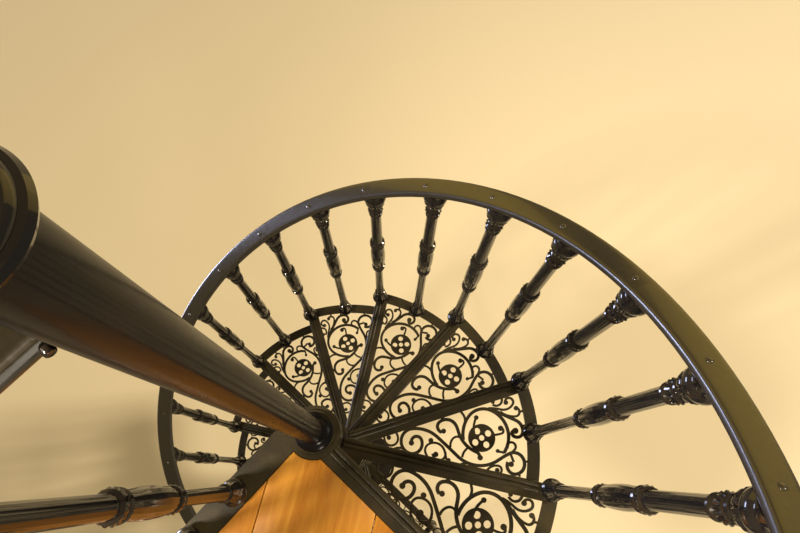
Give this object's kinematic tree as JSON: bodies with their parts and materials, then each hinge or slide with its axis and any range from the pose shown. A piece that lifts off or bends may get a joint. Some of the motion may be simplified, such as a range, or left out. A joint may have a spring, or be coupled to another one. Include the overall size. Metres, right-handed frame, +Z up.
{
  "type": "spiral staircase",
  "caption": "Full-turn cast-iron spiral stair with pierced scrollwork treads, turned balusters, flat handrail and a quarter landing.",
  "frame": {"origin": "centre of the base plate's underside, on the column's axis", "axes": "+Z up along the column; +X along the landing's front edge, out from the column; the stair comes down anticlockwise seen from above"},
  "size_m": [1.106, 1.1059, 3.832],
  "materials": {
    "black_iron": "gloss black paint",
    "rail_iron": "gloss black paint, worn smooth",
    "tread_iron": "satin black paint, worn",
    "floor_boards": "varnished pine"
  },
  "bodies": {
    "root": {"base_plate": "black_iron", "column": "black_iron", "column_cap": "black_iron", "hub_spacers": "black_iron", "nosing_sleeves": "black_iron", "tread_01": "tread_iron", "tread_02": "tread_iron", "tread_03": "tread_iron", "tread_04": "tread_iron", "tread_05": "tread_iron", "tread_06": "tread_iron", "tread_07": "tread_iron", "tread_08": "tread_iron", "tread_09": "tread_iron", "tread_10": "tread_iron", "tread_11": "tread_iron", "tread_12": "tread_iron", "balusters_01": "black_iron", "balusters_02": "black_iron", "balusters_03": "black_iron", "balusters_04": "black_iron", "balusters_05": "black_iron", "balusters_06": "black_iron", "balusters_07": "black_iron", "balusters_08": "black_iron", "balusters_09": "black_iron", "balusters_10": "black_iron", "balusters_11": "black_iron", "balusters_12": "black_iron", "handrail_1": "rail_iron", "handrail_2": "rail_iron", "handrail_3": "rail_iron", "handrail_4": "rail_iron", "handrail_5": "rail_iron", "handrail_6": "rail_iron", "start_newel": "black_iron", "landing_newel": "black_iron", "guard_newel": "black_iron", "landing_frame": "tread_iron", "landing_boards": "floor_boards", "guard_balusters": "black_iron", "guard_rail": "rail_iron"}
  },
  "joints": []
}
